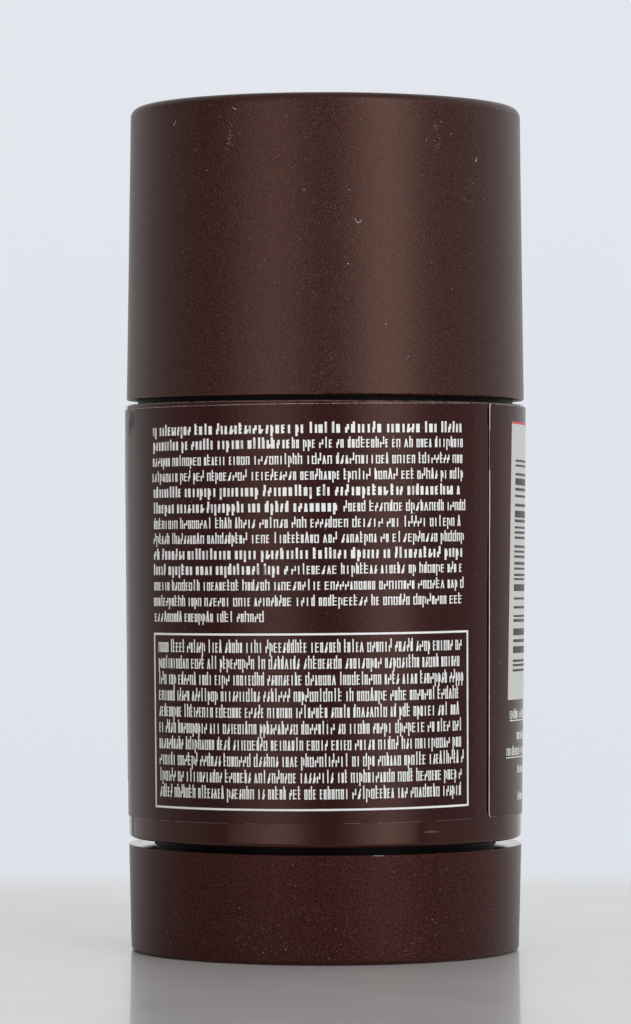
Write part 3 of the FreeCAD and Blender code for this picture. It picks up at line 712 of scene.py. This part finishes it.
def greekMark(page, angle, foot, tall, wide, weight, dice):
    # one upright mark of a greeked line: stems, ties and slants in a few plain arrangements
    stem = arc(weight)
    step = arc(wide - weight * 0.9)
    thin = weight * ink["bar"]
    low = tall * ink["lowLetters"]
    body = tall if dice.random() < ink["tallOnes"] else low
    kind = dice.choice(ink["kinds"])
    if kind == 0:
        page.patch(angle, angle + stem, foot, foot + body)
        page.patch(angle + step - stem, angle + step, foot, foot + low)
        page.patch(angle + stem, angle + step - stem, foot + tall * 0.66, foot + tall * 0.66 + thin)
    elif kind == 1:
        page.patch(angle, angle + stem, foot, foot + body)
        for share in (0.04, 0.38, 0.66):
            page.patch(angle + stem, angle + step * 0.9, foot + tall * share, foot + tall * share + thin)
    elif kind == 2:
        page.patch(angle, angle + stem, foot, foot + low, step - stem)
        page.patch(angle + step * 0.3, angle + step * 0.3 + stem, foot, foot + tall * 0.4, stem)
    elif kind == 3:
        page.patch(angle, angle + stem, foot, foot + low)
        page.patch(angle + step - stem, angle + step, foot, foot + body)
        page.patch(angle + stem, angle + step - stem, foot, foot + thin)
        page.patch(angle + stem, angle + step - stem, foot + tall * 0.62, foot + tall * 0.62 + thin)
    elif kind == 4:
        page.patch(angle + step * 0.3, angle + step * 0.3 + stem, foot, foot + body)
    elif kind == 5:
        page.patch(angle, angle + stem, foot - tall * 0.26, foot + low)
        page.patch(angle + stem, angle + step - stem * 0.4, foot + tall * 0.62, foot + tall * 0.62 + thin)
        page.patch(angle + step - stem, angle + step, foot + tall * 0.1, foot + tall * 0.6)
    elif kind == 6:
        page.patch(angle, angle + stem, foot, foot + tall * 0.5)
        page.patch(angle + step - stem, angle + step, foot + tall * 0.3, foot + body)
        page.patch(angle + stem, angle + step - stem, foot + tall * 0.34, foot + tall * 0.34 + thin)
    else:
        page.patch(angle, angle + stem, foot, foot + body, (step - stem) * 0.5)
        page.patch(angle + step - stem, angle + step, foot, foot + body, (stem - step) * 0.5)


def greekLine(page, left, right, foot, tall, pitch, weight, dice):
    # clusters of marks with small gaps, which stand for a line of small print
    gap = arc(pitch * 0.55)
    angle = left
    while angle < right - arc(pitch):
        for _ in range(dice.randint(2, 11)):
            wide = pitch * dice.uniform(0.72, 1.12)
            if angle + arc(wide) > right:
                break
            greekMark(page, angle, foot, tall, wide, weight, dice)
            angle += arc(wide)
        angle += gap


paragraph = {
    "left": -57.4, "right": 43.6, "lastLineTo": -16.7,
    "feet": [63.94, 62.14, 60.22, 58.33, 56.42, 54.50, 52.60, 50.76, 48.86, 47.00, 45.10, 43.20, 41.30],
    "tall": 1.34, "pitch": 0.64, "light": 0.16, "bold": 0.27, "boldPitch": 1.05,
    "boldUpTo": {0: 1.0, 1: 0.48, 4: 1.0, 5: 0.62, 8: 1.0, 9: 0.48},
}
listing = {
    "left": -55.2, "right": 42.6, "firstFoot": 37.60, "lineStep": 1.957, "lines": 10,
    "tall": 1.60, "pitch": 0.56, "weight": 0.15,
    "frame": (-57.6, 44.0, 18.60, 39.93), "rule": 0.25,
}


def smallPrint():
    dice = random.Random(4117)
    page = Print()
    for line, foot in enumerate(paragraph["feet"]):
        left = paragraph["left"] + dice.uniform(-0.2, 0.5)
        right = paragraph["right"] + dice.uniform(-1.6, 0.2)
        if line == len(paragraph["feet"]) - 1:
            right = paragraph["lastLineTo"]
        lighter = left + (right - left) * paragraph["boldUpTo"].get(line, 0.0)
        if lighter > left:
            boldPitch = paragraph["pitch"] * paragraph["boldPitch"]
            greekLine(page, left, lighter, foot, paragraph["tall"], boldPitch, paragraph["bold"], dice)
        if lighter < right - 1.0:
            greekLine(page, lighter, right, foot, paragraph["tall"], paragraph["pitch"],
                      paragraph["light"], dice)
    for line in range(listing["lines"]):
        foot = listing["firstFoot"] - line * listing["lineStep"]
        right = listing["right"] + dice.uniform(-1.8, 0.3)
        greekLine(page, listing["left"], right, foot, listing["tall"], listing["pitch"],
                  listing["weight"], dice)
    page.rectangle(*listing["frame"], listing["rule"])
    return page


# the pale panel round the corner, with plain bars across it and a few short lines below
panel = {
    "left": 65.25, "right": 101.0, "low": 31.26, "high": 65.26, "lean": 0.53,
    "redSide": 0.12, "redTop": 0.27,
    "barsLeft": 68.75, "barsRight": 98.0, "barsLow": 34.71, "barsHigh": 61.4,
    "barSteps": (0.26, 0.30, 0.36, 0.84), "gapSteps": (0.24, 0.34, 0.50, 0.80),
    "notes": [  # left, right, foot, height, underlined
        (66.9, 98.0, 28.92, 1.25, True), (73.4, 96.0, 26.3, 1.2, False), (64.7, 99.0, 24.38, 1.2, True),
        (74.5, 95.0, 22.15, 1.1, False), (75.6, 92.0, 18.8, 1.1, False)],
    "notePitch": 0.62, "noteWeight": 0.14, "underline": (0.30, 0.18),
}
overprint = {"sink": -0.004, "thickness": 0.026}      # a second ink, laid on top of the first


def barPanel():
    pale = Print()
    pale.patch(panel["left"], panel["right"], panel["low"], panel["high"], panel["lean"])
    red = Print()
    side = arc(panel["redSide"])
    red.patch(panel["left"] - side, panel["left"], panel["low"], panel["high"], panel["lean"])
    red.patch(panel["left"] - side + panel["lean"], panel["right"] + panel["lean"], panel["high"],
              panel["high"] + panel["redTop"])
    dark = Print(**overprint)
    dice = random.Random(58)
    height = panel["barsLow"]
    while height < panel["barsHigh"]:
        thick = dice.choice(panel["barSteps"])
        lean = panel["lean"] * (height - panel["low"]) / (panel["high"] - panel["low"])
        dark.patch(panel["barsLeft"] + lean, panel["barsRight"] + lean, height, height + thick)
        height += thick + dice.choice(panel["gapSteps"])
    notes = Print()
    for left, right, foot, tall, underlined in panel["notes"]:
        greekLine(notes, left, right, foot, tall, panel["notePitch"], panel["noteWeight"], dice)
        if underlined:
            below, above = panel["underline"]
            notes.patch(left, right, foot - below, foot - above)
    return pale, red, dark, notes


# the side away from the camera: a thin frame, a plain lighter field and greeked bars
display = {
    "middle": 228.0, "half": 46.0, "low": 21.5, "high": 63.5, "rule": 0.35,
    "field": (40.0, 61.0), "inset": 3.0, "fieldRule": 0.18,
    "bars": ((26.0, 51.5, 55.5), (18.0, 47.4, 48.6), (32.0, 44.8, 45.2), (14.0, 42.2, 43.2)),
    "lines": ((30.0, 35.2, 1.9), (22.0, 31.8, 1.5), (24.0, 26.6, 1.3), (12.0, 24.0, 1.2)),
    "pitch": 0.55, "weight": 0.11,     # as shares of a line's height
}


def displaySide():
    field = Print()
    pale = Print(**overprint)
    middle = display["middle"]
    left, right = middle - display["half"], middle + display["half"]
    inner = (left + display["inset"], right - display["inset"], *display["field"])
    field.patch(*inner)
    pale.rectangle(left, right, display["low"], display["high"], display["rule"])
    pale.rectangle(*inner, display["fieldRule"])
    for half, low, high in display["bars"]:
        pale.patch(middle - half, middle + half, low, high)
    dice = random.Random(905)
    for half, foot, tall in display["lines"]:
        pitch, weight = tall * display["pitch"], tall * display["weight"]
        greekLine(pale, middle - half, middle + half, foot, tall, pitch, weight, dice)
    return field, pale


# the film's cut edge shows as a thin, broken pale line along its rims, partly painted highlight, with a
# painted shadow line at the step
edge = {
    "ink": {"sink": 0.02, "thickness": 0.012}, "shade": {"sink": 0.09, "thickness": -0.045},
    "rims": ((label["foot"] + 0.01, 0.7, 0.028), (label["head"] - 0.075, 0.97, 0.072)),
    "runs": (0.8, 5.0), "gaps": (0.05, 0.4),
    "pieces": (1.5, 4.0), "wide": (0.11, 0.16), "fine": (0.02, 0.04), "fineBetween": (60.0, 66.0),
    "cornerSteps": 5, "cornerStep": 14.0, "cornerWide": 0.15,
    "shades": ((17.6, 46.0, 0.24), (46.0, 51.0, 0.17), (51.0, 65.0, 0.08), (65.0, 67.0, 0.24)),
}


def edgeLightAndShade():
    dice = random.Random(2210)
    # painted highlight lines, broken into runs, along the film's foot and head
    rim = Print(**edge["ink"])
    for height, share, widest in edge["rims"]:
        angle = label["startAngle"] + 2.0
        while angle < label["endAngle"] - 3.0:
            run = dice.uniform(*edge["runs"])
            if dice.random() < share:
                wide = dice.uniform(widest * 0.5, widest)
                rim.patch(angle, min(angle + run, label["endAngle"] - 2.0), height, height + wide)
            angle += run + dice.uniform(*edge["gaps"])
    # the first end's pale cut edge, partly the film's own pale edge and partly a painted highlight, with its
    # two rounded corners
    start = Print(**edge["ink"])
    corner = label["corner"]
    fineFrom, fineTo = edge["fineBetween"]
    height = label["foot"] + corner
    while height < label["head"] - corner:
        top = min(height + dice.uniform(*edge["pieces"]), label["head"] - corner)
        wide = dice.uniform(*(edge["fine"] if fineFrom < top < fineTo else edge["wide"]))
        left = firstEdge(height)
        start.patch(left, left + arc(wide), height, top, firstEdge(top) - left)
        height = top
    for step in range(edge["cornerSteps"]):
        turns = [math.radians(edge["cornerStep"] * (step + extra)) for extra in (0, 1)]
        ins = [corner * (1.0 - math.cos(turn)) for turn in turns]
        outs = [corner * math.sin(turn) for turn in turns]
        rise = outs[1] - outs[0]
        lean = arc(ins[1] - ins[0])
        high = label["head"] - corner + outs[0]
        left = firstEdge(high)
        start.patch(left + arc(ins[0]), left + arc(ins[0] + edge["cornerWide"]), high, high + rise, lean)
        low = label["foot"] + corner - outs[1]
        left = firstEdge(low)
        start.patch(left + arc(ins[1]), left + arc(ins[1] + edge["cornerWide"]), low, low + rise, -lean)
    # painted shadow: a near-black strip just left of the first end, sunk under the film, where the step
    # casts shade
    shade = Print(**edge["shade"])
    for low, high, wide in edge["shades"]:
        left = firstEdge(low)
        shade.patch(left - arc(wide), left - arc(0.01), low, high, firstEdge(high) - left)
    return rim, start, shade


whiteInk = inkMaterial("whiteInk", colour(0.93, 0.94, 0.935), 0.10)
smallPrint().piece("small_print", whiteInk)
palePanel, redRule, darkBars, notes = barPanel()
paleInk = inkMaterial("paleInk", colour(0.69, 0.70, 0.675), 0.05)
palePanel.piece("bar_panel", paleInk)
redRule.piece("panel_rule", inkMaterial("redInk", colour(0.74, 0.070, 0.040), 0.10))
darkBars.piece("panel_bars", inkMaterial("darkInk", colour(0.034, 0.020, 0.018), 0.20))
notes.piece("panel_notes", whiteInk)
displayField, displayLines = displaySide()
displayField.piece("display_field", inkMaterial("fieldInk", colour(0.085, 0.036, 0.026), 0.12, 0.36))
displayLines.piece("display_lines", paleInk)
rimHighlight, cutEdgeHighlight, edgeShade = edgeLightAndShade()
rimHighlight.piece("label_rim", inkMaterial("rimHighlightFilm", colour(0.45, 0.36, 0.34), 0.6, 0.3))
cutEdgeHighlight.piece("label_cut_edge", inkMaterial("cutEdgeHighlightFilm", colour(0.86, 0.83, 0.81), 0.3, 0.3))
# near-black and without specular: the colour of painted shadow, for the step and the creases
stepShade = inkMaterial("stepShade", colour(0.0020, 0.0014, 0.0014), 0.3, 0.8, 0.0)
edgeShade.piece("label_step", stepShade)
print("label is printed")


# ---- dust, scratches and a chip: small flakes and threads lying on the mouldings
bit = {
    "corners": 7, "reach": (0.36, 0.56), "lift": 0.02, "lowLift": 0.012,
    "rimSink": 0.008, "bottomSink": 0.03, "threadSink": 0.02, "threadLift": 0.006, "away": 40.0,
}


class Bits:
    # collects flakes and threads that lie on one CAD node, then turns them into one piece
    def __init__(self, node):
        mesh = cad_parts[node].data
        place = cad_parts[node].matrix_world
        corners = [place @ point.co for point in mesh.vertices]
        self.skin = BVHTree.FromPolygons(corners, [list(face.vertices) for face in mesh.polygons])
        self.points = []
        self.faces = []

    def landing(self, angle, height):
        turn = math.radians(angle)
        outwards = Vector((math.sin(turn), -math.cos(turn), 0.0))
        away = outwards * (bit["away"] * mm) + Vector((0.0, 0.0, height * mm))
        return self.skin.ray_cast(away, -outwards)[0], outwards

    def flake(self, angle, height, wide, tall, dice, lift=bit["lift"]):
        place, outwards = self.landing(angle, height)
        if place is None:
            return
        side = Vector((-outwards.y, outwards.x, 0.0))
        corners = bit["corners"]
        first = len(self.points)
        tilt = dice.uniform(0.0, 1.0)
        for corner in range(corners):
            turn = math.tau * (corner + tilt) / corners
            reach = dice.uniform(*bit["reach"]) * mm
            across = side * (math.cos(turn) * wide * reach)
            up = Vector((0.0, 0.0, math.sin(turn) * tall * reach))
            self.points.append(place + across + up - outwards * bit["rimSink"] * mm)
        self.points.append(place + outwards * lift * mm)
        self.points.append(place - outwards * bit["bottomSink"] * mm)
        for corner in range(corners):
            a = first + corner
            b = first + (corner + 1) % corners
            self.faces.append((a, b, first + corners))
            self.faces.append((b, a, first + corners + 1))

    def thread(self, places, wide):
        # a fine hair, scratch or crease through the places given, thickest in the middle
        first = len(self.points)
        spots = [self.landing(angle, height) for angle, height in places]
        for number, (place, outwards) in enumerate(spots):
            share = number / (len(places) - 1)
            half = wide * (0.3 + 0.7 * math.sin(math.pi * share)) / 2.0 * mm
            along = spots[min(number + 1, len(spots) - 1)][0] - spots[max(number - 1, 0)][0]
            across = outwards.cross(along).normalized() * half
            above = outwards * bit["threadLift"] * mm
            self.points.append(place - outwards * bit["threadSink"] * mm)
            self.points.append(place + across + above)
            self.points.append(place - across + above)
        for number in range(len(places) - 1):
            a = first + number * 3
            for one, two in ((0, 1), (1, 2), (2, 0)):
                self.faces.append((a + one, a + two, a + 3 + two, a + 3 + one))
        self.faces.append((first + 2, first + 1, first))
        last = first + (len(places) - 1) * 3
        self.faces.append((last, last + 1, last + 2))

    def piece(self, name, body, slot, material):
        mesh = bpy.data.meshes.new(name)
        mesh.from_pydata(self.points, [], self.faces)
        return newPiece(name, mesh, body, material)


marks = {  # angle, height, and for some the size across and up
    "cap": [
        (-28.4, 100.5, 0.12, 0.18), (-28.2, 100.0, 0.10, 0.14), (-28.5, 99.5, 0.13, 0.20),
        (-28.3, 98.9, 0.11, 0.14), (48.8, 97.3, 0.15, 0.22), (51.8, 93.7, 0.14, 0.14),
        (47.2, 94.5, 0.13, 0.10), (43.5, 92.6, 0.16, 0.12), (52.5, 92.7, 0.12, 0.14),
        (32.9, 101.1, 0.13, 0.18), (35.0, 101.7, 0.10, 0.12), (38.5, 100.3, 0.14, 0.24),
        (29.8, 99.4, 0.11, 0.16), (32.6, 99.4, 0.15, 0.14), (6.6, 93.2, 0.11, 0.22),
        (-40.3, 98.4, 0.13, 0.13), (-6.1, 93.2, 0.13, 0.17), (-30.6, 101.3, 0.10, 0.10),
        (45.4, 86.0, 0.12, 0.10)],
    "wheel": [
        (19.6, 11.2, 0.13, 0.13), (29.0, 10.8, 0.11, 0.11), (46.7, 10.8, 0.14, 0.13),
        (34.5, 8.8, 0.12, 0.12), (32.0, 5.3, 0.15, 0.14), (33.2, 3.3, 0.10, 0.12),
        (36.9, 5.4, 0.11, 0.11), (55.0, 1.9, 0.12, 0.18), (25.5, 2.5, 0.11, 0.11),
        (2.9, 4.4, 0.18, 0.09), (4.4, 2.6, 0.10, 0.10), (-23.3, 5.4, 0.19, 0.09),
        (-25.2, 6.8, 0.15, 0.13), (-18.5, 4.7, 0.10, 0.14), (-20.4, 4.0, 0.12, 0.11),
        (-26.2, 3.0, 0.10, 0.12), (-11.4, 2.0, 0.16, 0.24), (-18.1, 1.5, 0.13, 0.12),
        (-4.8, 5.5, 0.14, 0.09), (-52.4, 3.4, 0.10, 0.20)],
    "label": [(49.0, 57.9, 0.14, 0.20), (48.6, 57.2, 0.09, 0.09)],
    # angle, height, spread across and up, and how many grains
    "capPatches": [(-28.4, 100.0, 1.6, 2.4, 34), (33.6, 99.7, 2.2, 1.9, 40), (46.0, 94.0, 4.0, 2.0, 16)],
    "wheelPatches": [(-18.0, 4.0, 9.0, 2.4, 40), (26.0, 3.4, 16.0, 2.2, 50)],
    "patchGrains": (0.05, 0.10),
    "moteSizes": (0.045, 0.055, 0.06, 0.075, 0.10),
    "moteShapes": (0.8, 1.4),
    "lowShare": 0.45,
    "chip": (-75.8, 93.9, 0.45, 1.1),
    "fibre": [(8.2, 89.75), (8.6, 89.4), (9.1, 89.2), (9.7, 89.3), (10.1, 89.6)],
    "hair": [(13.2, 13.16), (14.0, 13.20), (15.0, 13.15), (16.0, 13.19), (16.8, 13.14)],
    "scratches": [
        [(-49.6, 101.5), (-48.9, 101.8), (-48.3, 102.3)],
        [(-27.4, 103.3), (-26.6, 103.1), (-26.0, 103.0)],
        [(47.9, 97.1), (48.6, 97.4), (49.0, 97.9)]],
    "creases": [
        [(-73.6, 67.1), (-73.2, 66.4), (-73.0, 65.6), (-72.7, 65.0)],
        [(-71.2, 66.9), (-71.0, 66.0), (-71.3, 65.2)],
        [(-75.0, 66.2), (-74.6, 65.2), (-74.7, 64.0)]],
    "sink": [(28.9, 15.86), (30.2, 15.90), (31.4, 15.93), (32.7, 15.89), (33.9, 15.84)],
    "counts": {"cap": 900, "wheel": 620, "label": 260},
}


def settle(bits, known, patches, count, low, high, seed, lowOnes=0.0):
    # the larger grains first, then the patches of fine ones, then others all round
    dice = random.Random(seed)
    for angle, height, wide, tall in known:
        bits.flake(angle, height, wide, tall, dice)
    for angle, height, across, up, grains in patches:
        for _ in range(grains):
            size = dice.uniform(*marks["patchGrains"])
            turn = dice.gauss(angle, across * 0.5)
            level = height + up * dice.uniform(-1.0, 1.0)
            bits.flake(turn, level, size, size, dice, bit["lowLift"])
    for _ in range(count):
        share = dice.random()
        if dice.random() < lowOnes:
            share = share * marks["lowShare"]
        size = dice.choice(marks["moteSizes"])
        turn = dice.uniform(-180.0, 180.0)
        wide = size * dice.uniform(*marks["moteShapes"])
        tall = size * dice.uniform(*marks["moteShapes"])
        bits.flake(turn, low + (high - low) * share, wide, tall, dice, bit["lowLift"])


settled = inkMaterial("settledDust", colour(0.78, 0.74, 0.71), 0.4, 0.6)
capBits = Bits("cap")
settle(capBits, marks["cap"], marks["capPatches"], marks["counts"]["cap"], 69.3, 103.8, 31)
for line in [marks["fibre"]] + marks["scratches"]:
    capBits.thread(line, 0.06)
capBits.piece("cap_dust", "cap", "cap_satin_brown", settled)
chipBits = Bits("cap")
chipDice = random.Random(6)
chipBits.flake(*marks["chip"], chipDice, 0.04)
rawChip = inkMaterial("rawChip", colour(0.46, 0.33, 0.24), 0.5, 0.5)
chipBits.piece("cap_chip", "cap", "cap_satin_brown", rawChip)
wheelBits = Bits("base_wheel")
settle(wheelBits, marks["wheel"], marks["wheelPatches"], marks["counts"]["wheel"], 0.8, 12.6, 77, 0.6)
wheelBits.thread(marks["hair"], 0.05)
wheelBits.piece("wheel_dust", "wheel", "wheel_satin_brown", settled)
labelBits = Bits("wrap_label")
settle(labelBits, marks["label"], [], marks["counts"]["label"], 17.6, 67.0, 12)
labelBits.piece("label_dust", "barrel", "label_film", settled)
# crease lines near the label's top corner, drawn in the near-black step material: painted shade in the
# creases
creaseShadowBits = Bits("wrap_label")
for line in marks["creases"]:
    creaseShadowBits.thread(line, 0.14)
creaseShadowBits.piece("label_creases", "barrel", "label_film", stepShade)
sinkBits = Bits("outer_sleeve")
sinkBits.thread(marks["sink"], 0.24)
sinkMark = inkMaterial("sinkMark", colour(0.13, 0.09, 0.08), 0.5, 0.3)
sinkBits.piece("sleeve_sink_mark", "barrel", "sleeve_gloss_brown", sinkMark)
print("dust has settled")
